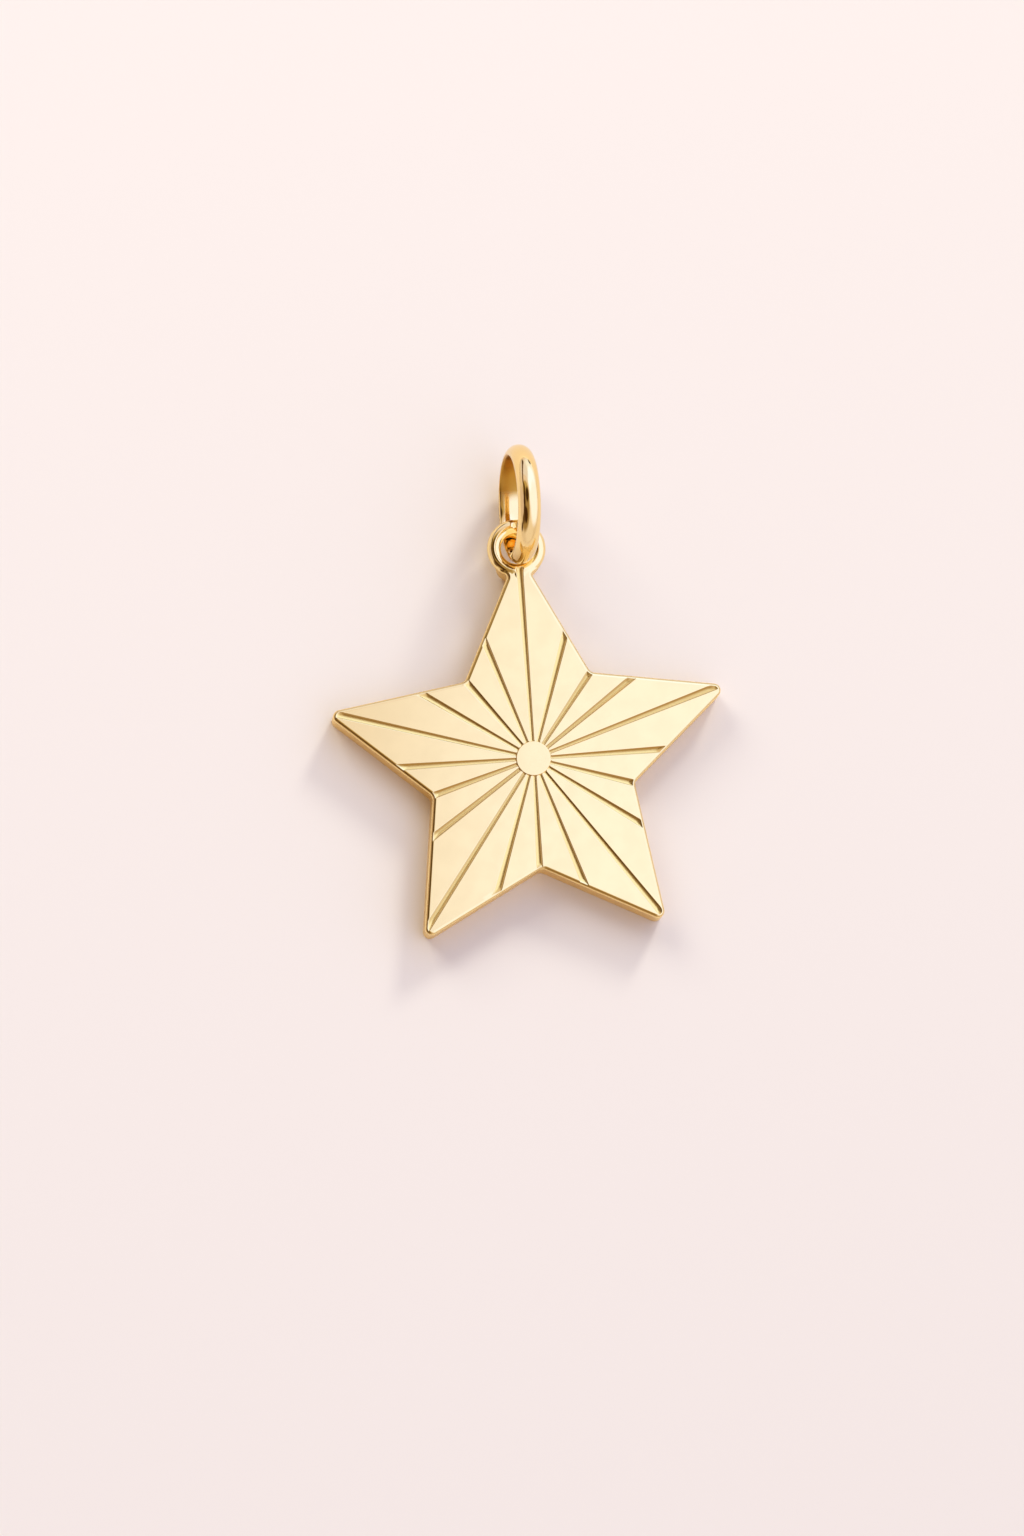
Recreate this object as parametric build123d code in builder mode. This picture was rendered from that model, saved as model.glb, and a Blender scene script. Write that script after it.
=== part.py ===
"""Star pendant: an engraved five-pointed plate with a cast eye, and the wide ring that runs through it.

X runs to the right, Y up the pendant and Z out of the engraved face. The origin is the centre of the
star on its flat back, which is the face that the pendant rests on. The ring stands on the same surface.
"""
from build123d import *
from math import cos, hypot, radians, sin, sqrt
import os

os.makedirs("parts", exist_ok=True)

# Plate, in millimetres
tip_radius = 12.0
notch_radius = 6.0
plate_thickness = 1.9
tip_rounding = 0.4
notch_rounding = 0.45
front_edge_rounding = 0.2
back_edge_rounding = 0.12

# Raised plain disc at the centre
disc_radius = 0.99
disc_rise = 0.06
disc_edge_rounding = 0.03

# Engraved rays: each is the cut of a round-nosed graver that widens towards the outline
ray_start_width = 0.2
ray_start_depth = 0.045
ray_end_width = 0.38
ray_end_depth = 0.08
engraving_margin = 0.12

# Cast eye at the end of the top arm, round in section
eye_hole_radius = 0.875
eye_wire_radius = 0.4
eye_offset = 0.19

# Wide ring for the chain: slightly crowned inside, domed outside
bail_inner_radius = 2.66
bail_thickness = 0.74
bail_width = 1.3
bail_side_height = 0.28
bail_inner_crown = 0.08
bail_inner_rounding = 0.12
bail_outer_rounding = 0.13

# How the ring lies: how far its centre is past the eye's bar, its lean and turn in degrees, and the
# gap that the bar has inside it
bail_lead = 0.95
bail_lean = 6.3
bail_yaw = 1.2
bail_clearance = 0.18

# Corners of the cast outline, clockwise from the top arm: each arm differs a little from the next.
# Directions are in degrees from +X, and shares are of the tip radius or of the notch radius.
TIP_DIRECTIONS = (89.75, 16.95, -55.15, -125.0, -196.2)
TIP_SHARES = (0.997, 0.999, 1.0, 1.0135, 1.011)
NOTCH_DIRECTIONS = (52.45, -16.85, -89.95, -163.35, -232.7)
NOTCH_SHARES = (0.996, 0.982, 1.0465, 1.019, 0.974)

# Directions of the rays, clockwise from the top arm's: cut by hand, and so not quite evenly spaced
RAY_DIRECTIONS = (
    *(89.68, 71.48, 52.63, 35.48, 17.77, 0.26, -17.68, -35.42, -54.85, -72.38),
    *(-91.38, -109.41, -126.14, -145.82, -163.46, -179.99, -196.55, -214.17, -233.07, -251.66),
)


def polar(radius, direction, height=0.0):
    """Point at a radius and direction in degrees about the star's centre."""
    return Vector(radius * cos(radians(direction)), radius * sin(radians(direction)), height)


def corners():
    """The outline's corners as (direction, radius), tips and notches by turns, clockwise."""
    tips = [(direction, share * tip_radius) for direction, share in zip(TIP_DIRECTIONS, TIP_SHARES)]
    notches = [(direction, share * notch_radius) for direction, share in zip(NOTCH_DIRECTIONS, NOTCH_SHARES)]
    return [corner for pair in zip(tips, notches) for corner in pair]


def side_reach(direction, first, second):
    """Distance from the centre, along a direction, to the outline's side between two corners."""
    (angle_1, radius_1), (angle_2, radius_2) = first, second
    across = radius_1 * radius_2 * sin(radians(angle_2 - angle_1))
    return across / (
        radius_1 * sin(radians(direction - angle_1)) + radius_2 * sin(radians(angle_2 - direction))
    )


def ray_lines():
    """Direction and length of every ray: one to each corner and one between each two corners."""
    first_direction, first_radius = corners()[0]
    round_once = corners() + [(first_direction - 360, first_radius)]
    lengths = []
    for first, second in zip(round_once, round_once[1:]):
        middle = (first[0] + second[0]) / 2
        lengths += [first[1], side_reach(middle, first, second)]
    return list(zip(RAY_DIRECTIONS, lengths))


with BuildSketch() as star_outline:
    with BuildLine():
        Polyline(*[polar(radius, direction) for direction, radius in corners()], close=True)
    make_face()
    middle_radius = (tip_radius + notch_radius) / 2
    fillet(star_outline.vertices().filter_by(lambda at: hypot(at.X, at.Y) < middle_radius), notch_rounding)
    fillet(star_outline.vertices().filter_by(lambda at: hypot(at.X, at.Y) > middle_radius), tip_rounding)

# Eye: centred just past the top arm's sharp corner, at the height where the ring passes under it
eye_ring_radius = eye_hole_radius + eye_wire_radius
eye_centre_y = corners()[0][1] + eye_offset
crown_rise = bail_thickness - bail_side_height
crown_radius = ((bail_width / 2) ** 2 + crown_rise**2) / (2 * crown_rise)
bail_outer_radius = bail_inner_radius + bail_thickness
bail_height = (bail_outer_radius - crown_radius) * cos(radians(bail_lean)) + crown_radius
eye_reach = bail_inner_radius - eye_wire_radius - bail_clearance
bail_rise = sqrt(eye_reach**2 - bail_lead**2)
eye_height = bail_height - bail_rise * cos(radians(bail_lean))
eye_centre = Vector(0, eye_centre_y, eye_height)

# Field that the engraving stays in: inside the outline, clear of the disc and of the eye's hole
with BuildSketch() as engraving_field:
    add(star_outline.sketch)
    offset(amount=-engraving_margin)
    Circle(disc_radius, mode=Mode.SUBTRACT)
    with Locations((0, eye_centre_y)):
        Circle(eye_ring_radius - engraving_margin, mode=Mode.SUBTRACT)


def graver_radius(width, depth):
    """Radius of the round nose that leaves a cut of this width and depth."""
    return ((width / 2) ** 2 + depth**2) / (2 * depth)


start_nose = graver_radius(ray_start_width, ray_start_depth)
end_nose = graver_radius(ray_end_width, ray_end_depth)
start_height = plate_thickness + start_nose - ray_start_depth
end_height = plate_thickness + end_nose - ray_end_depth

with BuildPart() as rays:
    for direction, length in ray_lines():
        start = polar(disc_radius - ray_start_width / 2, direction, start_height)
        finish = polar(length, direction, end_height)
        run = (finish - start).length
        with BuildSketch(Plane(origin=start, x_dir=finish - start, z_dir=polar(1, direction + 90))):
            with BuildLine():
                Polyline((0, 0), (run, 0), (run, end_nose), (0, start_nose), close=True)
            make_face()
        revolve(axis=Axis(start, finish - start))
    extrude(engraving_field.sketch, amount=2 * plate_thickness, mode=Mode.INTERSECT)

with BuildPart() as star:
    extrude(star_outline.sketch, amount=plate_thickness)
    fillet(star.faces().sort_by(Axis.Z)[-1].edges(), front_edge_rounding)
    fillet(star.faces().sort_by(Axis.Z)[0].edges(), back_edge_rounding)
    with BuildSketch(Plane.XY.offset(plate_thickness)):
        Circle(disc_radius)
    extrude(amount=disc_rise)
    fillet(star.faces().sort_by(Axis.Z)[-1].edges(), disc_edge_rounding)
    with Locations((0, eye_centre_y, plate_thickness / 2)):
        Cylinder(eye_ring_radius, 2 * plate_thickness, mode=Mode.SUBTRACT)
    with Locations(eye_centre):
        Torus(eye_ring_radius, eye_wire_radius)
    add(rays.part, mode=Mode.SUBTRACT)

# Ring: its middle plane passes through the top of the eye's bar, at its clearance inside the ring
bail_turn = Plane.XY.rotated((-bail_yaw, bail_lean, 0), Intrinsic.ZYX)
bar_centre = eye_centre + Vector(0, eye_ring_radius, 0)
bail_centre = bar_centre + bail_turn.y_dir * bail_lead + bail_turn.z_dir * bail_rise
bail_plane = Plane(origin=bail_centre, x_dir=bail_turn.x_dir, z_dir=bail_turn.z_dir)

with BuildPart() as bail_ring:
    with BuildSketch(bail_plane) as bail_section:
        with BuildLine():
            side_top = bail_inner_radius + bail_side_height
            side_low = bail_inner_radius + bail_inner_crown
            Line((-bail_width / 2, side_top), (-bail_width / 2, side_low))
            ThreePointArc(
                (-bail_width / 2, side_low),
                (0, bail_inner_radius),
                (bail_width / 2, side_low),
            )
            Line((bail_width / 2, side_low), (bail_width / 2, side_top))
            ThreePointArc(
                (bail_width / 2, side_top),
                (0, bail_outer_radius),
                (-bail_width / 2, side_top),
            )
        make_face()
        fillet(bail_section.vertices().group_by(Axis.Y)[0], bail_inner_rounding)
        fillet(bail_section.vertices().group_by(Axis.Y)[-1], bail_outer_rounding)
    revolve(axis=Axis(bail_centre, bail_plane.x_dir))

star.part.label = "star"
export_step(star.part, "parts/star.step")

bail_ring.part.label = "bail_ring"
export_step(bail_ring.part, "parts/bail_ring.step")
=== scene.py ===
"""Star pendant at rest on a pale floor: the star and its ring as fine meshes in polished gold, lit softly."""
from math import acos, asin, atan2, cos, pi, radians, sin, sqrt, tan

import bmesh
import bpy
import numpy as np
from mathutils import Matrix, Vector
from mathutils.geometry import delaunay_2d_cdt


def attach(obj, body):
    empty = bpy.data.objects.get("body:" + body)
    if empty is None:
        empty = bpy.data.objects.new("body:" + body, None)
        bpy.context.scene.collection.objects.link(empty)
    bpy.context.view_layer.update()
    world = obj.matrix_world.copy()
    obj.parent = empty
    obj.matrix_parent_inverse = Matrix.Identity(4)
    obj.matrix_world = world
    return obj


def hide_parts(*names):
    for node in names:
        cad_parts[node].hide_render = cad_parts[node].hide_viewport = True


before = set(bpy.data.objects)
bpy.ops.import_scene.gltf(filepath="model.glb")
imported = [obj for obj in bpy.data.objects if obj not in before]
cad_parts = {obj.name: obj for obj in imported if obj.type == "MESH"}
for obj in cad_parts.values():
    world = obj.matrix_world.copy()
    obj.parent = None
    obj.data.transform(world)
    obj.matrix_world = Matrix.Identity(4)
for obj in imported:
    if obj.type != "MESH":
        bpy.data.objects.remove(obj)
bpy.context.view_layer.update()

# Lengths are in millimetres up to the point where a mesh is made
MM = 0.001
# How far the surface lies inside its nominal size, so that it stays in the CAD model's box
SKIN = 0.003
# How close points and edges may lie and count as one, and the slack in angles round an arc
TOLERANCE = 1e-6
ANGLE_TOLERANCE = 1e-9
# Slack outside the outline for the middles of triangles that are kept
OUTLINE_SLACK = 0.0005
# In metres: rims that are closer than this share their points, and points this close are made one
RIM_GAP = 1e-6
MERGE_DISTANCE = 2e-7
# Step over which a slope is measured
SHORT_STEP = 0.001

# Spacing of mesh points: arcs by angle, and sides by length with closer points at both ends
ARC_PITCH = radians(7)
SIDE_PITCH = 0.55
SIDE_END_PLACES = (0.04, 0.12)
SIDE_END_CLEAR = 0.3
DISC_STEPS = 120
EYE_STEPS = 120
BAIL_STEPS = 180
# Angles round a rounded edge, in degrees, and how far past it the flat gets two more rings
EDGE_ANGLES = (90, 80, 68, 56, 44, 32, 21, 11, 3)
FLAT_START_INSETS = (0.015, 0.04)
# Rings of points: across the eye's wire as shares of its radius, on the flat face inside the margin of the
# engraving, and outside the middle of the eye's wire on the back
WIRE_RINGS = (-0.985, -0.93, -0.85, -0.75, -0.62, -0.48, -0.33, -0.17, 0, 0.17, 0.33, 0.42)
FACE_RINGS = (0.1, 0.17, 0.25, 0.34, 0.43, 0.52)
BACK_RINGS = (0.02, 0.08, 0.15, 0.17, 0.2)
# Shares of the height between the front's rim and the back's
WALL_SHARES = (0, 0.02, 0.5, 0.98, 1)

# Star plate
TIP_RADIUS = 12.0
NOTCH_RADIUS = 6.0
THICKNESS = 1.9
TIP_ROUNDING = 0.4
NOTCH_ROUNDING = 0.45
NECK_ROUNDING = 0.22
FRONT_ROUNDING = 0.2
BACK_ROUNDING = 0.12

# Corners of the cast outline, clockwise from the top arm: directions in degrees, shares of the radius
TIP_DIRECTIONS = (89.75, 16.95, -55.15, -125.0, -196.2)
TIP_SHARES = (0.997, 0.999, 1.0, 1.0135, 1.011)
NOTCH_DIRECTIONS = (52.45, -16.85, -89.95, -163.35, -232.7)
NOTCH_SHARES = (0.996, 0.982, 1.0465, 1.019, 0.974)
# Directions of the rays, cut by hand and so not quite evenly spaced
RAY_DIRECTIONS = (
    *(89.68, 71.48, 52.63, 35.48, 17.77, 0.26, -17.68, -35.42, -54.85, -72.38),
    *(-91.38, -109.41, -126.14, -145.82, -163.46, -179.99, -196.55, -214.17, -233.07, -251.66),
)

# Raised disc and engraved rays
DISC_RADIUS = 0.99
DISC_RISE = 0.06
DISC_ROUNDING = 0.03
DISC_FLANK_STEEPNESS = 20
# Rings of points about the disc's edge, as steps off its radius
DISC_RINGS = (-0.05, -DISC_ROUNDING, -0.022, -0.013, -0.005, 0, 0.002, 0.004, 0.016, 0.03, 0.05)
RAY_START_WIDTH = 0.2
RAY_START_DEPTH = 0.045
RAY_END_WIDTH = 0.38
RAY_END_DEPTH = 0.08
RAY_MARGIN = 0.12
# Height above the face that stands for no cut, how softly a cut breaks through the face, and how steeply its
# floor falls away from the disc and the eye and from the margin
UNCUT_RISE = 1.0
RIM_SOFTNESS = 0.012
START_STEEPNESS = 3.7
END_STEEPNESS = 0.3
# Lines of points along a cut: share of its half width, and what is added to that in millimetres
CUT_LINES = ((0, 0), (0.3, 0), (0.55, 0), (0.75, 0), (0.9, 0), (1.0, 0), (1.0, 0.012), (1.0, 0.028))
# Where these lines start off the disc and how far they run past the margin
CUT_START = 0.03
CUT_OVERRUN = 0.02
# Samples along a line, and which of them become points: at a stride, with one more near each end
CUT_SAMPLES = 400
CUT_STRIDE = 32
CUT_END_CLEAR = 20
CUT_SECOND_STEP = 4
CUT_LAST_BUT_ONE = 6
# Painted shade in the cuts: darkest along the rim on this side, towards the light, whose wall faces away from
# it, most of all where that wall faces the second direction. Places are shares of half the width, -1 to 1.
DARKER_SIDE = np.array((0.5, 0.87))
SHADED_WALL = np.array((0.15, -1.0))
SHADE_GAIN = 1.3
SHADE_LOSS = 0.4
LEAST_SHADE = 0.25
SHADE_PLACES = (-1.06, -1.0, -0.9, -0.74, -0.1, 0.5, 1.0, 1.06)
SHADE_AMOUNTS = (0, 0.6, 0.6, 0, 0, 1, 1, 0)
SHADE_DEPTH = 0.04
# Painted shade as thin dark lines: round the plate just inside its edge, darker on the sides that face the
# lower left, away from the light, and on the disc's edge towards its lower left
EDGE_LINE = ((0.034, 0.061, 0.094, 0.128), (0, 1, 0.8, 0))
EDGE_DARKER_FACING = np.array((-0.71, -0.71))
EDGE_DARKNESS = ((0.4, 0.9), (0.45, 1.0))
DISC_LINE = ((-0.035, -0.022, 0.002, 0.004), (0, 0.8, 0.8, 0))
DISC_LINE_SIDE = np.array((-0.7, -0.7))
DISC_LINE_FADE = 0.8
# Painted shade on the side walls: their deeper tone and their darkness, as values of the cut layer and the
# shade layer
WALL_TONE = 0.6
WALL_SHADE = 0.1

# Eye
EYE_HOLE_RADIUS = 0.875
EYE_WIRE_RADIUS = 0.4
EYE_RING_RADIUS = EYE_HOLE_RADIUS + EYE_WIRE_RADIUS
EYE_OUTER_RADIUS = EYE_RING_RADIUS + EYE_WIRE_RADIUS
EYE_X = 0.0
EYE_OFFSET = 0.19
EYE_Y = TIP_RADIUS * TIP_SHARES[0] + EYE_OFFSET
# How softly the wire meets the plate. The plate ends at the neck: this starts at a share of the eye's outer
# radius below its centre, and over its length the front sinks and the back rises into the wire.
EYE_BLEND = 0.04
NECK_START = 0.83
NECK_LENGTH = 0.45
FRONT_NECK_DROP = 0.3
BACK_NECK_RISE = 2
# The back rises steeply to the wire this far outside its middle
BACK_RAMP_REACH = 0.16
BACK_RAMP_STEEPNESS = 7

# Ring, and how it lies in the eye
BAIL_INNER_RADIUS = 2.66
BAIL_THICKNESS = 0.74
BAIL_WIDTH = 1.3
BAIL_SIDE_HEIGHT = 0.28
BAIL_INNER_CROWN = 0.08
BAIL_INNER_ROUNDING = 0.12
# First point of the outer side, as it lies in from the side and below its top
BAIL_EDGE_INSET = (0.002, 0.012)
# Steps along the crown inside, round the inner corner and along the dome outside
INNER_STEPS = 8
CORNER_STEPS = 8
CROWN_STEPS = 15
BAIL_OUTER_RADIUS = BAIL_INNER_RADIUS + BAIL_THICKNESS
BAIL_LEAD = 0.95
BAIL_LEAN = radians(6.3)
BAIL_YAW = radians(1.2)
BAIL_CLEARANCE = 0.18
CROWN_RISE = BAIL_THICKNESS - BAIL_SIDE_HEIGHT
CROWN_RADIUS = ((BAIL_WIDTH / 2) ** 2 + CROWN_RISE**2) / (2 * CROWN_RISE)
BAIL_HEIGHT = (BAIL_OUTER_RADIUS - CROWN_RADIUS) * cos(BAIL_LEAN) + CROWN_RADIUS
BAIL_RISE = sqrt((BAIL_INNER_RADIUS - EYE_WIRE_RADIUS - BAIL_CLEARANCE) ** 2 - BAIL_LEAD**2)
EYE_HEIGHT = BAIL_HEIGHT - BAIL_RISE * cos(BAIL_LEAN)
# The upper inside is duller and darker with painted shade: over these heights off the inner face, and these
# cosines off the ring's top
DULL_SHADE_HEIGHTS = (0.1, 0.2)
DULL_SHADE_TURN = (0.15, 0.75)

# Gold: base colour, deeper colour of painted shade for what the cut layer marks, colour of darker painted
# shade, and roughness
STAR_GOLD = ((1.0, 0.76, 0.33), (1.0, 0.71, 0.22), (0.46, 0.23, 0.04), 0.09)
RING_GOLD = ((0.98, 0.73, 0.32), (0.58, 0.31, 0.05), (0.50, 0.29, 0.09), 0.07)
# What a full cut or painted shade adds to the roughness, and the depths over which the cut's painted shade
# comes in
CUT_ROUGHNESS = 0.26
CUT_TONE_RANGE = (0.02, 0.6)
# Fine wear: its scale and detail, the span of the noise that counts, and how it changes colour and roughness
WEAR_SCALE = 900.0
WEAR_DETAIL = 4.0
WEAR_RANGE = (0.3, 0.7)
WEAR_SHADE = 0.98
WEAR_POLISH = (0.85, 1.15)

# Camera: tilt from the star's normal towards the viewer's left and towards the bottom, the roll, and where it
# aims off the star's centre
CAMERA_DISTANCE = 362.2
CAMERA_LENS = 150.0
CAMERA_SENSOR = 36
CAMERA_LEFT = 5.0
CAMERA_DOWN = 8.0
CAMERA_ROLL = 4.51
AIM_RIGHT = -1.216
AIM_UP = -0.541
# In metres
CLIP_NEAR, CLIP_FAR = 0.01, 10

# Floor, its size in metres
FLOOR_HALF_SIZE = 1.5
FLOOR_ROUGHNESS = 0.9
FLOOR_SPECULAR = 0.1
FLOOR_COLOUR = (0.812, 0.680, 0.505)

# Light. Sky patches: azimuth from +X, angle off the zenith, inner and outer radius, all in degrees, colour
SKY_COLOUR = (0.80, 0.70, 0.72)
SKY_PATCHES = (
    (54, 43, 38, 60, (1.02, 1.18, 1.78)),
    (45, 47, 24, 35, (1.10, 1.42, 2.60)),
    (112, 58, 18, 32, (0.86, 0.88, 1.25)),
    (-85, 55, 26, 42, (0.90, 0.82, 0.88)),
    (-10, 48, 26, 46, (1.12, 1.26, 2.05)),
    (62, 90, 5, 9, (0.05, 0.035, 0.02)),
    (18, 12.6, 6, 12, (1.12, 1.26, 2.05)),
    (158, 32.3, 32.2, 35.5, (0.86, 0.77, 0.90)),
    (180, 32, 31, 37.2, (0.55, 0.42, 0.20)),
    (-150, 42, 28, 42, (0.38, 0.26, 0.12)),
    (180, 30, 14, 24, (0.36, 0.25, 0.12)),
    (178, 72, 14, 24, (0.72, 0.60, 0.65)),
    (153, 19, 9, 17.5, (0.06, 0.03, 0.01)),
    (-151, 82, 4, 9, (0.10, 0.05, 0.02)),
    (-151, 64, 5, 11, (0.10, 0.05, 0.02)),
    (-138, 43, 11, 18, (0.06, 0.026, 0.008)),
    (-160, 48, 7, 13, (0.06, 0.026, 0.008)),
    (-178, 45, 6, 12, (0.06, 0.026, 0.008)),
    (165, 44, 5, 11, (0.06, 0.026, 0.008)),
    (151, 46, 4, 10, (0.08, 0.04, 0.01)),
    (148, 52, 2, 7, (0.14, 0.08, 0.03)),
    (144, 58, 2, 7, (0.14, 0.08, 0.03)),
    (138, 61, 2, 7, (0.14, 0.08, 0.03)),
    (131, 64, 2, 7, (0.14, 0.08, 0.03)),
    (124, 68, 2, 7, (0.14, 0.08, 0.03)),
    (117, 72, 2, 7, (0.14, 0.08, 0.03)),
    (111, 76, 2, 7, (0.14, 0.08, 0.03)),
    (106, 80, 2, 8, (0.08, 0.04, 0.01)),
)
# Lamps: name, azimuth, angle off the zenith, size in metres, power, colour
LAMP_DISTANCE = 0.6
LAMPS = (
    ("key", 60, 64, 0.13, 1.92, (0.82, 0.91, 1.0)),
    ("fill", 122, 58, 0.32, 1.76, (0.82, 0.91, 1.0)),
    ("bounce", -135, 42, 0.60, 0.3, (1.0, 0.90, 0.84)),
)


def unit(vector):
    """The vector at length one."""
    return np.asarray(vector, float) / np.hypot(*vector)


def smooth_min(a, b, softness):
    """Lower of two heights with a rounded change between them."""
    h = np.clip(0.5 + 0.5 * (b - a) / softness, 0, 1)
    return b * (1 - h) + a * h - softness * h * (1 - h)


def smooth_max(a, b, softness):
    """Higher of two heights with a rounded change between them."""
    return -smooth_min(-a, -b, softness)


def smooth_step(low, high, value):
    """0 below low, 1 above high, and smooth between."""
    t = np.clip((value - low) / (high - low), 0, 1)
    return t * t * (3 - 2 * t)


def polar(radius, direction):
    """Point at a radius and a direction in degrees about the star's centre."""
    return np.array((radius * cos(radians(direction)), radius * sin(radians(direction))))


def corners():
    """The outline's corners as (direction, radius), tips and notches by turns, clockwise."""
    tips = [(direction, share * TIP_RADIUS) for direction, share in zip(TIP_DIRECTIONS, TIP_SHARES)]
    notches = [(direction, share * NOTCH_RADIUS) for direction, share in zip(NOTCH_DIRECTIONS, NOTCH_SHARES)]
    return [corner for pair in zip(tips, notches) for corner in pair]


class Arc:
    """Round stretch of the outline. bulge is 1 where the metal is on the centre's side, else -1."""

    def __init__(self, centre, radius, start, end, bulge):
        self.centre, self.radius, self.bulge = np.asarray(centre, float), radius, bulge
        self.start = atan2(*(np.asarray(start) - centre)[::-1])
        turn = atan2(*(np.asarray(end) - centre)[::-1]) - self.start
        if bulge > 0 and turn > 0:
            turn -= 2 * pi
        if bulge < 0 and turn < 0:
            turn += 2 * pi
        self.turn = turn

    def points(self, inset):
        """Points along the arc after it is moved into the metal by inset."""
        steps = max(2, int(np.ceil(abs(self.turn) / ARC_PITCH)))
        angles = self.start + self.turn * np.arange(steps) / steps
        radius = self.radius - self.bulge * inset
        return self.centre + radius * np.stack((np.cos(angles), np.sin(angles)), 1)

    def depth(self, at):
        """Distance of each point into the metal, or infinity where the arc isn't the nearest stretch."""
        away = at - self.centre
        angles = (np.arctan2(away[:, 1], away[:, 0]) - self.start) * np.sign(self.turn)
        within = np.mod(angles, 2 * pi) <= abs(self.turn) + ANGLE_TOLERANCE
        return np.where(within, self.bulge * (self.radius - np.hypot(away[:, 0], away[:, 1])), np.inf)


class Side:
    """Straight stretch of the outline, run clockwise, with the metal on its right."""

    def __init__(self, start, end):
        self.start, self.end = np.asarray(start, float), np.asarray(end, float)
        self.length = np.hypot(*(self.end - self.start))
        self.along = (self.end - self.start) / self.length
        self.inward = np.array((self.along[1], -self.along[0]))

    def points(self, inset):
        """Points along the side after it is moved into the metal, closer together at its ends."""
        near, far = SIDE_END_PLACES
        middle = np.arange(SIDE_END_CLEAR, self.length - SIDE_END_CLEAR, SIDE_PITCH)
        places = np.concatenate(((0, near, far), middle, (self.length - far, self.length - near)))
        return self.start + self.inward * inset + places[:, None] * self.along

    def depth(self, at):
        """Distance of each point into the metal, or infinity where the side isn't the nearest stretch."""
        away = at - self.start
        along = away @ self.along
        return np.where((along >= 0) & (along <= self.length), away @ self.inward, np.inf)


def corner_arc(before, corner, after, radius, bulge):
    """Arc that rounds one corner of the outline, with its two ends."""
    back, ahead = unit(before - corner), unit(after - corner)
    half = acos(float(back @ ahead)) / 2
    centre = corner + unit(back + ahead) * radius / sin(half)
    start, end = corner + back * radius / tan(half), corner + ahead * radius / tan(half)
    return Arc(centre, radius, start, end, bulge), start, end


def neck_arc(side, left_hand):
    """Arc that leads from the eye's outer circle into the top arm's side, with its two ends."""
    clear = (EYE - side.start) @ side.inward + NECK_ROUNDING
    reach = EYE_OUTER_RADIUS + NECK_ROUNDING
    turned = -1 if left_hand else 1
    centre = EYE - side.inward * clear + side.along * turned * sqrt(reach**2 - clear**2)
    at_eye = EYE + unit(centre - EYE) * EYE_OUTER_RADIUS
    at_side = centre + side.inward * NECK_ROUNDING
    ends = (at_side, at_eye) if left_hand else (at_eye, at_side)
    return Arc(centre, NECK_ROUNDING, *ends, -1), at_eye, at_side


def make_outline():
    """The plan outline, clockwise from the eye's right-hand neck: arcs and sides of the star with its eye."""
    points = [polar(radius, direction) for direction, radius in corners()]
    right_neck, right_eye, last = neck_arc(Side(points[0], points[1]), False)
    left_neck, left_eye, left_end = neck_arc(Side(points[9], points[0]), True)
    found = [right_neck]
    for i in range(1, 10):
        rounding, bulge = (NOTCH_ROUNDING, -1) if i % 2 else (TIP_ROUNDING, 1)
        arc, start, end = corner_arc(points[i - 1], points[i], points[(i + 1) % 10], rounding, bulge)
        found += [Side(last, start), arc]
        last = end
    return found + [Side(last, left_end), left_neck, Arc(EYE, EYE_OUTER_RADIUS, left_eye, right_eye, 1)]


EYE = np.array((EYE_X, EYE_Y))
OUTLINE = make_outline()


def ring_points(inset):
    """The outline moved into the metal by inset, as a closed run of points."""
    return np.concatenate([stretch.points(inset + SKIN) for stretch in OUTLINE])


def outline_depth(at):
    """How far each point lies inside the outline, negative outside it."""
    depths = np.stack([stretch.depth(at) for stretch in OUTLINE])
    nearest = np.argmin(np.abs(depths), 0)
    return np.take_along_axis(depths, nearest[None], 0)[0]


def ray_lines():
    """Direction and length of every ray: one to each corner and one between each two corners."""
    lengths = []
    round_once = corners()
    for (angle_1, radius_1), (angle_2, radius_2) in zip(round_once, round_once[1:] + round_once[:1]):
        angle_2 -= 360 if angle_2 > angle_1 else 0
        middle = (angle_1 + angle_2) / 2
        across = radius_1 * radius_2 * sin(radians(angle_2 - angle_1))
        length = across / (
            radius_1 * sin(radians(middle - angle_1)) + radius_2 * sin(radians(angle_2 - middle))
        )
        lengths += [radius_1, length]
    return list(zip(RAY_DIRECTIONS, lengths))


RAYS = ray_lines()


def nose(width, depth):
    """Radius of the round nose that leaves a cut of this width and depth."""
    return ((width / 2) ** 2 + depth**2) / (2 * depth)


START_NOSE = nose(RAY_START_WIDTH, RAY_START_DEPTH)
END_NOSE = nose(RAY_END_WIDTH, RAY_END_DEPTH)


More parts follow.
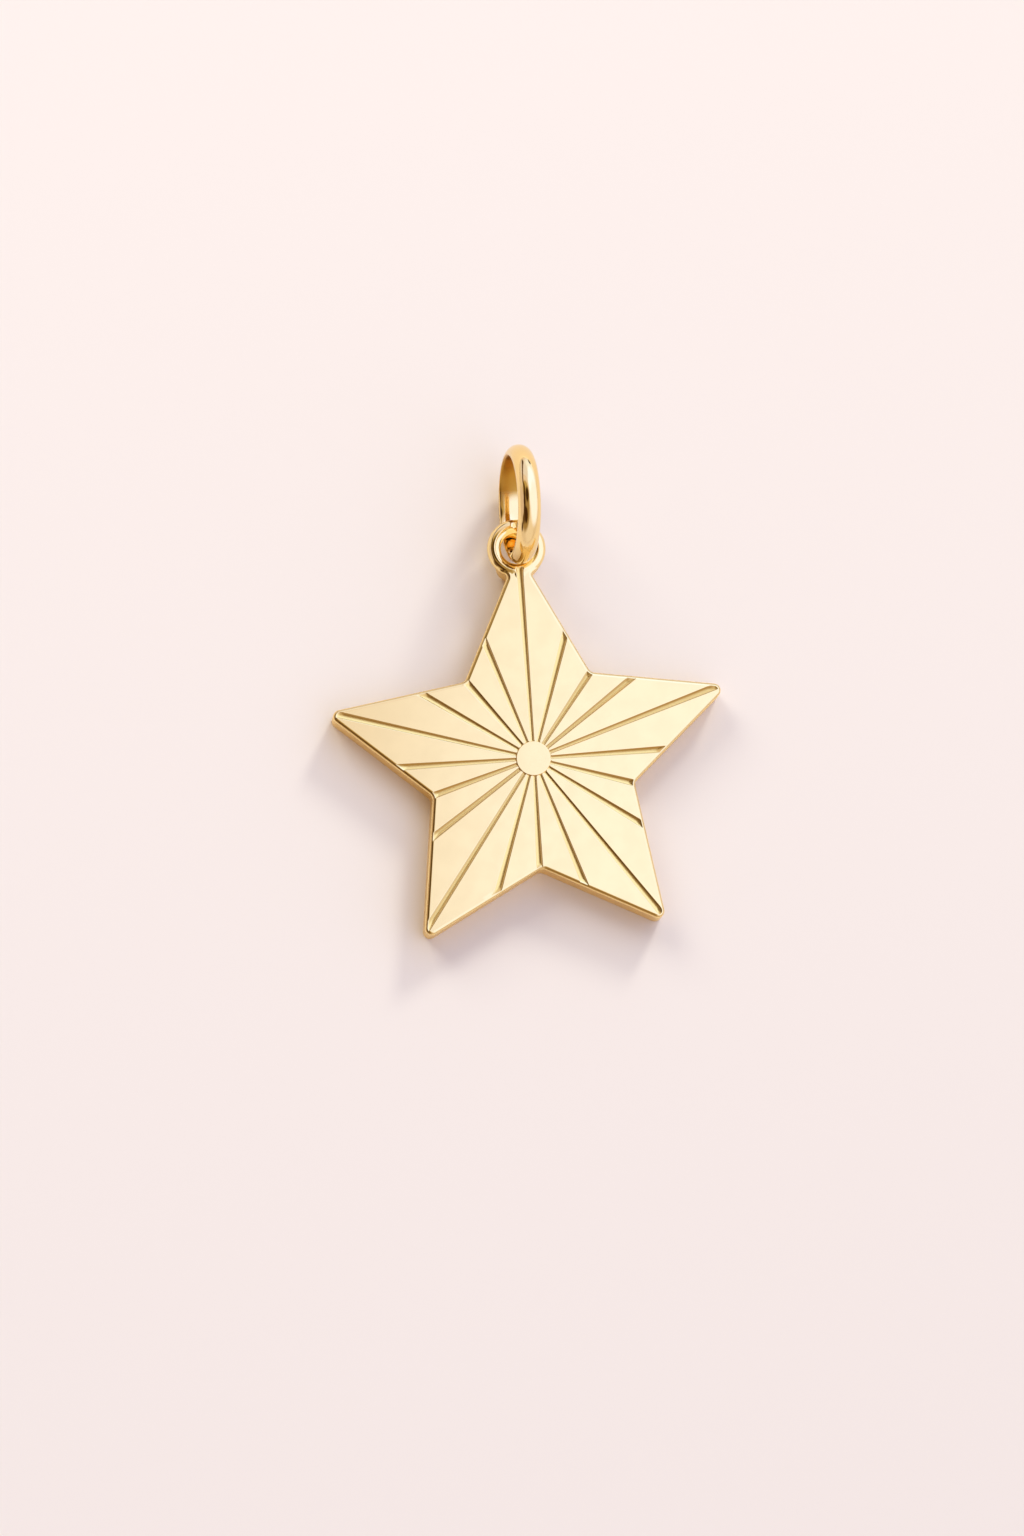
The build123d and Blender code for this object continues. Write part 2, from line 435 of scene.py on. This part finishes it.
def cut_height(at):
    """Height of the engraving's floor at each point, far above the uncut face, and how much painted shade its
    rims get.
    """
    from_centre = np.hypot(at[:, 0], at[:, 1])
    height = np.full(len(at), THICKNESS + UNCUT_RISE)
    painted_shade = np.zeros(len(at))
    for direction, length in RAYS:
        along = polar(1, direction)
        t = at @ along
        across = np.array((-along[1], along[0]))
        darker = 1 if across @ DARKER_SIDE > 0 else -1
        u = at @ across * darker
        share = np.clip((t - DISC_RADIUS) / (length - DISC_RADIUS), 0, 1)
        radius = START_NOSE + (END_NOSE - START_NOSE) * share
        axis = THICKNESS + (START_NOSE - RAY_START_DEPTH) * (1 - share) + (END_NOSE - RAY_END_DEPTH) * share
        floor = axis - np.sqrt(np.clip(radius**2 - u**2, 0, None))
        height = np.where(t > 0, np.minimum(height, floor), height)
        width = (RAY_START_WIDTH + (RAY_END_WIDTH - RAY_START_WIDTH) * share) / 2
        # Painted shade, strongest on cuts whose shaded wall faces the second direction, away from the light
        strength = np.clip(-SHADE_GAIN * darker * across @ SHADED_WALL - SHADE_LOSS, LEAST_SHADE, 1)
        side = np.interp(u / width, SHADE_PLACES, SHADE_AMOUNTS) * strength
        painted_shade = np.where(t > 0, np.maximum(painted_shade, side), painted_shade)
    from_eye = np.hypot(at[:, 0] - EYE_X, at[:, 1] - EYE_Y)
    start = np.minimum(from_centre - DISC_RADIUS, from_eye - EYE_RING_RADIUS + RAY_MARGIN)
    deepest = np.minimum(start * START_STEEPNESS, (outline_depth(at) - RAY_MARGIN) * END_STEEPNESS)
    return np.maximum(height, THICKNESS - deepest), painted_shade * np.clip(deepest / SHADE_DEPTH, 0, 1)


def edge_drop(depth, rounding):
    """How far a rounded edge has fallen at a depth inside the outline."""
    short = np.clip(rounding - depth, 0, rounding)
    return rounding - np.sqrt(np.clip(rounding**2 - short**2, 0, None))


def wire_rise(at):
    """Half height of the eye's round wire over each point."""
    across = np.hypot(at[:, 0] - EYE_X, at[:, 1] - EYE_Y) - EYE_RING_RADIUS
    return np.sqrt(np.clip(EYE_WIRE_RADIUS**2 - across**2, 0, None))


def neck_fade(at):
    """0 on the plate, rising to 1 just past the neck, where only the eye's wire goes on."""
    neck_y = EYE_Y - EYE_OUTER_RADIUS * NECK_START
    return smooth_step(neck_y, neck_y + NECK_LENGTH, at[:, 1])


def front_height(at):
    """Height of the front surface, how deep the engraving has cut it, and its painted shade along cuts and
    edges.
    """
    depth = outline_depth(at)
    from_eye = np.hypot(at[:, 0] - EYE_X, at[:, 1] - EYE_Y)
    plate = THICKNESS - edge_drop(depth, FRONT_ROUNDING) - neck_fade(at) * FRONT_NECK_DROP
    from_centre = np.hypot(at[:, 0], at[:, 1])
    disc = THICKNESS + DISC_RISE - edge_drop(DISC_RADIUS - from_centre, DISC_ROUNDING)
    disc -= DISC_FLANK_STEEPNESS * np.clip(from_centre - DISC_RADIUS, 0, None)
    plate = np.maximum(plate, disc)
    wire = EYE_HEIGHT + wire_rise(at)
    near_eye = from_eye < EYE_OUTER_RADIUS + TOLERANCE
    whole = np.where(near_eye, smooth_max(plate, wire, EYE_BLEND), plate)
    whole = np.where(from_eye < EYE_RING_RADIUS, wire, whole)
    engraving, painted_shade = cut_height(at)
    cut = smooth_min(whole, engraving, RIM_SOFTNESS)
    # Painted shade: thin dark lines inside the edge, darker facing the lower left, and at the disc's lower
    # left edge
    facing = (depth - outline_depth(at + EDGE_DARKER_FACING * SHORT_STEP)) / SHORT_STEP
    edge_shade = np.interp(depth, *EDGE_LINE) * np.interp(facing, *EDGE_DARKNESS)
    edge_shade = np.where(near_eye, 0, edge_shade)
    disc_side = smooth_step(0, DISC_LINE_FADE, at @ DISC_LINE_SIDE)
    disc_shade = np.interp(from_centre - DISC_RADIUS, *DISC_LINE) * disc_side
    return cut, whole - cut, np.maximum(painted_shade, np.maximum(edge_shade, disc_shade))


def back_height(at):
    """Height of the back surface: flat, rounded at the outline, and rising to the underside of the eye."""
    from_eye = np.hypot(at[:, 0] - EYE_X, at[:, 1] - EYE_Y)
    rise = (EYE_RING_RADIUS + BACK_RAMP_REACH - from_eye) * BACK_RAMP_STEEPNESS
    plate = np.maximum(edge_drop(outline_depth(at), BACK_ROUNDING), rise) + neck_fade(at) * BACK_NECK_RISE
    wire = EYE_HEIGHT - wire_rise(at)
    near_eye = from_eye < EYE_OUTER_RADIUS + TOLERANCE
    return np.where(near_eye, np.minimum(plate, wire), plate)


def circle(centre, radius, steps):
    """Closed run of points round a centre."""
    angles = -np.arange(steps) * 2 * pi / steps + pi / 2
    return centre + radius * np.stack((np.cos(angles), np.sin(angles)), 1)


def groove_runs():
    """Lines along each ray at several shares of its width, cut off just inside the outline."""
    runs = []
    for direction, length in RAYS:
        along = polar(1, direction)
        across = np.array((-along[1], along[0]))
        t = np.linspace(DISC_RADIUS + CUT_START, length, CUT_SAMPLES)
        for share, extra in CUT_LINES:
            for sign in (1, -1) if share else (1,):
                start_u = sign * (share * RAY_START_WIDTH / 2 + extra)
                end_u = sign * (share * RAY_END_WIDTH / 2 + extra)
                u = start_u + (end_u - start_u) * (t - DISC_RADIUS) / (length - DISC_RADIUS)
                at = t[:, None] * along + u[:, None] * across
                from_eye = np.hypot(at[:, 0] - EYE_X, at[:, 1] - EYE_Y)
                clear_of_eye = from_eye > EYE_RING_RADIUS - RAY_MARGIN - CUT_OVERRUN
                good = (outline_depth(at) > RAY_MARGIN - CUT_OVERRUN) & clear_of_eye
                last = int(np.argmin(good)) if not good.all() else len(t)
                middle = np.arange(CUT_END_CLEAR, max(CUT_END_CLEAR + 1, last - CUT_END_CLEAR), CUT_STRIDE)
                ending = (max(0, last - CUT_LAST_BUT_ONE), last - 1)
                steps = np.unique(np.r_[0, CUT_SECOND_STEP, middle, ending])
                runs.append(at[steps[steps < last]])
    return runs


def triangulate(closed_runs, open_runs):
    """Plan triangulation that keeps every run as edges: points, triangles and the first two runs' points."""
    points, edges = [], []
    for run in closed_runs:
        first = len(points)
        points.extend(run.tolist())
        edges += [(first + i, first + (i + 1) % len(run)) for i in range(len(run))]
    for run in open_runs:
        first = len(points)
        points.extend(run.tolist())
        edges += [(first + i, first + i + 1) for i in range(len(run) - 1)]
    made = delaunay_2d_cdt([Vector(p) for p in points], edges, [], 0, TOLERANCE, True)
    plan = np.array([tuple(v) for v in made[0]])
    triangles = np.array([tuple(f) for f in made[2]])
    place = {}
    for new, olds in enumerate(made[3]):
        for old in olds:
            place[old] = new
    loops = []
    first = 0
    for run in closed_runs[:2]:
        loops.append([place[first + i] for i in range(len(run))])
        first += len(run)
    middle = plan[triangles].mean(1)
    from_eye = np.hypot(middle[:, 0] - EYE_X, middle[:, 1] - EYE_Y)
    kept = (outline_depth(middle) > -OUTLINE_SLACK) & (from_eye > EYE_HOLE_RADIUS * cos(pi / EYE_STEPS))
    return plan, triangles[kept], loops


def edge_insets(rounding):
    """Insets of the rings that follow a rounded edge, with two more where the flat begins."""
    on_edge = [rounding * (1 - sin(a)) for a in np.radians(EDGE_ANGLES)]
    return on_edge + [rounding + inset for inset in FLAT_START_INSETS]


def surface_plan(rounding, front):
    """Plan triangulation of the front or of the back."""
    closed = [ring_points(0), circle(EYE, EYE_HOLE_RADIUS, EYE_STEPS)]
    closed += [ring_points(inset) for inset in edge_insets(rounding)[1:]]
    for share in WIRE_RINGS:
        closed.append(circle(EYE, EYE_RING_RADIUS + share * EYE_WIRE_RADIUS, EYE_STEPS))
    open_runs = []
    if front:
        for step in DISC_RINGS:
            closed.append(circle(np.zeros(2), DISC_RADIUS + step, DISC_STEPS))
        closed += [ring_points(RAY_MARGIN + inset) for inset in FACE_RINGS]
        open_runs = groove_runs()
    else:
        for step in BACK_RINGS:
            closed.append(circle(EYE, EYE_RING_RADIUS + step, EYE_STEPS))
    return triangulate(closed, open_runs)


def make_star():
    """The star with its disc, rays and eye as one closed mesh that knows each point's cut depth and painted
    shade.
    """
    mesh = bmesh.new()
    # Layers: how deep each point is cut, which deepens its colour as painted shade, and how much darker
    # painted shade it has
    cut_and_shade_layer = mesh.verts.layers.float.new("cut_depth_and_shade")
    shade_layer = mesh.verts.layers.float.new("painted_shade")
    sheets = []
    for front in (True, False):
        plan, triangles, loops = surface_plan(FRONT_ROUNDING if front else BACK_ROUNDING, front)
        if front:
            height, cut, painted_shade = front_height(plan)
        else:
            height, cut, painted_shade = back_height(plan), np.zeros(len(plan)), np.zeros(len(plan))
        used = np.unique(triangles)
        made = {}
        for i in used:
            vertex = mesh.verts.new((plan[i, 0] * MM, plan[i, 1] * MM, height[i] * MM))
            vertex[cut_and_shade_layer] = cut[i] / RAY_END_DEPTH
            vertex[shade_layer] = painted_shade[i]
            made[i] = vertex
        for a, b, c in triangles:
            turn = np.cross(plan[b] - plan[a], plan[c] - plan[a])
            order = (a, b, c) if (turn > 0) == front else (a, c, b)
            mesh.faces.new([made[i] for i in order])
        sheets.append([[made[i] for i in loop] for loop in loops])
    for top, bottom in zip(sheets[0], sheets[1]):
        # Side walls take the cut's deeper colour and a little darker colour, both painted shade
        join_rims(mesh, top, bottom, ((cut_and_shade_layer, WALL_TONE), (shade_layer, WALL_SHADE)))
    bmesh.ops.remove_doubles(mesh, verts=mesh.verts, dist=MERGE_DISTANCE)
    bmesh.ops.recalc_face_normals(mesh, faces=mesh.faces)
    return finish_mesh(mesh, "star_body")


def join_rims(mesh, top, bottom, layers):
    """Wall between two rims that lie over each other, with loops close to both and values for layers."""
    columns = []
    for high, low in zip(top, bottom):
        if (high.co - low.co).length < RIM_GAP:
            columns.append([high] * len(WALL_SHARES))
            continue
        middle = [mesh.verts.new(high.co.lerp(low.co, share)) for share in WALL_SHARES[1:-1]]
        for vertex in middle:
            for layer, value in layers:
                vertex[layer] = value
        columns.append([high, *middle, low])
    for i, column in enumerate(columns):
        following = columns[(i + 1) % len(columns)]
        for k in range(len(WALL_SHARES) - 1):
            unique = list(dict.fromkeys((column[k], column[k + 1], following[k + 1], following[k])))
            if len(unique) >= 3:
                mesh.faces.new(unique)


def bail_section():
    """The ring's section as a closed run of (across, radius) points: a low crown inside, a dome outside."""
    half, side_top = BAIL_WIDTH / 2, BAIL_INNER_RADIUS + BAIL_SIDE_HEIGHT
    rounding = BAIL_INNER_ROUNDING
    inner = (half**2 + BAIL_INNER_CROWN**2) / (2 * BAIL_INNER_CROWN)
    high = BAIL_INNER_RADIUS + inner
    bend = asin((half - rounding) / (inner - rounding))
    low = high - (inner - rounding) * cos(bend)
    turns = [bend * step / INNER_STEPS for step in range(INNER_STEPS + 1)]
    right = [(inner * sin(a), high - inner * cos(a)) for a in turns]
    for step in range(1, CORNER_STEPS + 1):
        a = bend + (pi / 2 - bend) * step / CORNER_STEPS
        right.append((half - rounding + rounding * sin(a), low - rounding * cos(a)))
    crown_centre = BAIL_OUTER_RADIUS - SKIN - CROWN_RADIUS
    sweep = asin(half / CROWN_RADIUS)
    right.append((half - BAIL_EDGE_INSET[0], side_top - BAIL_EDGE_INSET[1]))
    for step in range(1, CROWN_STEPS):
        a = sweep * (1 - step / CROWN_STEPS)
        right.append((CROWN_RADIUS * sin(a), crown_centre + CROWN_RADIUS * cos(a)))
    right.append((0, BAIL_OUTER_RADIUS - SKIN))
    return right + [(-a, r) for a, r in reversed(right[1:-1])]


def make_bail():
    """The wide ring, turned about its own axis and laid in the eye."""
    turn = Matrix.Rotation(-BAIL_YAW, 3, "Z") @ Matrix.Rotation(BAIL_LEAN, 3, "Y")
    bar = Vector((EYE_X, EYE_Y + EYE_RING_RADIUS, EYE_HEIGHT))
    centre = bar + turn @ Vector((0, BAIL_LEAD, BAIL_RISE))
    section = bail_section()
    dull_shade_radii = [BAIL_INNER_RADIUS + height for height in DULL_SHADE_HEIGHTS]
    mesh = bmesh.new()
    dull_shade_layer = mesh.verts.layers.float.new("cut_depth_and_shade")
    rows = []
    for step in range(BAIL_STEPS):
        a = 2 * pi * step / BAIL_STEPS
        row = []
        for across, r in section:
            point = Vector((across, r * cos(a), r * sin(a)))
            vertex = mesh.verts.new((centre + turn @ point) * MM)
            # Painted shade on the upper inside, which is also made duller
            inside = np.interp(r, dull_shade_radii, (1, 0))
            vertex[dull_shade_layer] = inside * smooth_step(*DULL_SHADE_TURN, cos(a))
            row.append(vertex)
        rows.append(row)
    for i in range(BAIL_STEPS):
        for k in range(len(section)):
            here, there = rows[i], rows[(i + 1) % BAIL_STEPS]
            following = (k + 1) % len(section)
            mesh.faces.new((here[k], here[following], there[following], there[k]))
    bmesh.ops.recalc_face_normals(mesh, faces=mesh.faces)
    return finish_mesh(mesh, "bail_ring_body")


def finish_mesh(mesh, name):
    """Object from a finished bmesh, smooth all over."""
    for face in mesh.faces:
        face.smooth = True
    data = bpy.data.meshes.new(name)
    mesh.to_mesh(data)
    mesh.free()
    made = bpy.data.objects.new(name, data)
    bpy.context.scene.collection.objects.link(made)
    return made


def node(tree, kind, values=None, **settings):
    """New node with its settings, and its inputs from values or from other nodes' outputs."""
    made = tree.nodes.new(kind)
    for name, value in settings.items():
        setattr(made, name, value)
    for name, value in (values or {}).items():
        if isinstance(value, bpy.types.NodeSocket):
            tree.links.new(value, made.inputs[name])
        else:
            made.inputs[name].default_value = value
    return made


def mix_colour(tree, factor, first, second):
    """Colour between two colours."""
    made = node(tree, "ShaderNodeMix", data_type="RGBA")
    for place, value in ((0, factor), (6, first), (7, second)):
        if isinstance(value, bpy.types.NodeSocket):
            tree.links.new(value, made.inputs[place])
        else:
            made.inputs[place].default_value = (*value, 1) if isinstance(value, tuple) else value
    return made.outputs[2]


def ramp(tree, value, low, high, to_low, to_high):
    """Value taken smoothly from one range to another."""
    values = {"Value": value, "From Min": low, "From Max": high, "To Min": to_low, "To Max": to_high}
    return node(tree, "ShaderNodeMapRange", values, interpolation_type="SMOOTHSTEP").outputs["Result"]


def gold(name, base, deep, dark, roughness):
    """Polished gold: fine wear all over, duller and deeper in colour as painted shade where the cut layer
    marks it, and darker painted shade along rims.
    """
    material = bpy.data.materials.new(name)
    material.use_nodes = True
    tree = material.node_tree
    shader = tree.nodes["Principled BSDF"]
    shader.inputs["Metallic"].default_value = 1.0
    place = node(tree, "ShaderNodeTexCoord").outputs["Object"]
    noise = {"Vector": place, "Scale": WEAR_SCALE, "Detail": WEAR_DETAIL}
    wear = node(tree, "ShaderNodeTexNoise", noise).outputs["Fac"]
    # Cut depth, and the painted shade that deepens the colour in cuts, on walls and on the ring's upper
    # inside
    cut_depth_and_shade = node(tree, "ShaderNodeAttribute", attribute_name="cut_depth_and_shade").outputs["Fac"]
    depth = ramp(tree, cut_depth_and_shade, *CUT_TONE_RANGE, 0.0, 1.0)
    shaded = tuple(WEAR_SHADE * c for c in base)
    worn = mix_colour(tree, ramp(tree, wear, *WEAR_RANGE, 0.0, 1.0), base, shaded)
    # Painted shade, taking the colour towards the dark shade colour
    painted_shade = node(tree, "ShaderNodeAttribute", attribute_name="painted_shade").outputs["Fac"]
    cut = mix_colour(tree, depth, worn, deep)
    tree.links.new(mix_colour(tree, painted_shade, cut, dark), shader.inputs["Base Color"])
    polish = ramp(tree, wear, *WEAR_RANGE, *[roughness * share for share in WEAR_POLISH])
    cut_or_shade = node(tree, "ShaderNodeMath", {0: depth, 1: painted_shade}, operation="MAXIMUM").outputs[0]
    dull = node(tree, "ShaderNodeMath", {0: cut_or_shade, 1: CUT_ROUGHNESS}, operation="MULTIPLY").outputs[0]
    total = node(tree, "ShaderNodeMath", {0: polish, 1: dull}, operation="ADD").outputs[0]
    tree.links.new(total, shader.inputs["Roughness"])
    return material


def make_floor():
    """Plain pale floor."""
    mesh = bmesh.new()
    bmesh.ops.create_grid(mesh, x_segments=1, y_segments=1, size=FLOOR_HALF_SIZE)
    floor = finish_mesh(mesh, "floor")
    material = bpy.data.materials.new("floor")
    material.use_nodes = True
    shader = material.node_tree.nodes["Principled BSDF"]
    shader.inputs["Base Color"].default_value = (*FLOOR_COLOUR, 1)
    shader.inputs["Roughness"].default_value = FLOOR_ROUGHNESS
    shader.inputs["Specular IOR Level"].default_value = FLOOR_SPECULAR
    floor.data.materials.append(material)


def make_camera():
    """Camera at the photo's angle: over the star's lower left, and rolled."""
    away = Vector((-tan(radians(CAMERA_LEFT)), -tan(radians(CAMERA_DOWN)), 1)).normalized()
    right = Vector((0, 1, 0)).cross(away).normalized()
    up = away.cross(right)
    roll = Matrix.Rotation(-radians(CAMERA_ROLL), 3, away)
    right, up = roll @ right, roll @ up
    aim = Vector((0, 0, THICKNESS)) + right * AIM_RIGHT + up * AIM_UP
    data = bpy.data.cameras.new("camera")
    data.lens, data.sensor_width = CAMERA_LENS, CAMERA_SENSOR
    data.clip_start, data.clip_end = CLIP_NEAR, CLIP_FAR
    camera = bpy.data.objects.new("camera", data)
    bpy.context.scene.collection.objects.link(camera)
    turn = Matrix((right, up, away)).transposed().to_4x4()
    camera.matrix_world = Matrix.Translation((aim + away * CAMERA_DISTANCE) * MM) @ turn
    bpy.context.scene.camera = camera


def sky_direction(azimuth, off_zenith):
    """Unit vector at an azimuth from +X and an angle from straight up, in degrees."""
    a, z = radians(azimuth), radians(off_zenith)
    return Vector((cos(a) * sin(z), sin(a) * sin(z), cos(z)))


def make_sky():
    """Surroundings as soft patches of light, each laid over those before it."""
    world = bpy.data.worlds.new("sky")
    bpy.context.scene.world = world
    world.use_nodes = True
    tree = world.node_tree
    toward = node(tree, "ShaderNodeTexCoord").outputs["Generated"]
    colour = SKY_COLOUR
    for azimuth, off_zenith, inner, outer, patch in SKY_PATCHES:
        values = {0: toward, 1: sky_direction(azimuth, off_zenith)}
        facing = node(tree, "ShaderNodeVectorMath", values, operation="DOT_PRODUCT").outputs["Value"]
        share = ramp(tree, facing, cos(radians(outer)), cos(radians(inner)), 0.0, 1.0)
        colour = mix_colour(tree, share, colour, patch)
    tree.links.new(colour, tree.nodes["Background"].inputs["Color"])


def make_lamp(name, azimuth, off_zenith, size, power, colour):
    """Soft lamp that lights the floor and isn't mirrored in the metal."""
    data = bpy.data.lights.new(name, "AREA")
    data.shape, data.size, data.energy, data.color = "DISK", size, power, colour
    lamp = bpy.data.objects.new(name, data)
    bpy.context.scene.collection.objects.link(lamp)
    toward = sky_direction(azimuth, off_zenith)
    lamp.location = toward * LAMP_DISTANCE
    lamp.rotation_euler = toward.to_track_quat("Z", "Y").to_euler()
    lamp.visible_glossy = False


star = make_star()
level = star.modifiers.new("level", "WEIGHTED_NORMAL")
level.mode, level.weight, level.keep_sharp = "FACE_AREA", 50, False
star.data.materials.append(gold("star_gold", *STAR_GOLD))
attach(star, "root")
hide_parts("star")

bail = make_bail()
bail.data.materials.append(gold("ring_gold", *RING_GOLD))
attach(bail, "root")
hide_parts("bail_ring")

make_floor()
make_camera()
make_sky()
for lamp in LAMPS:
    make_lamp(*lamp)
bpy.context.scene.view_settings.view_transform = "Standard"
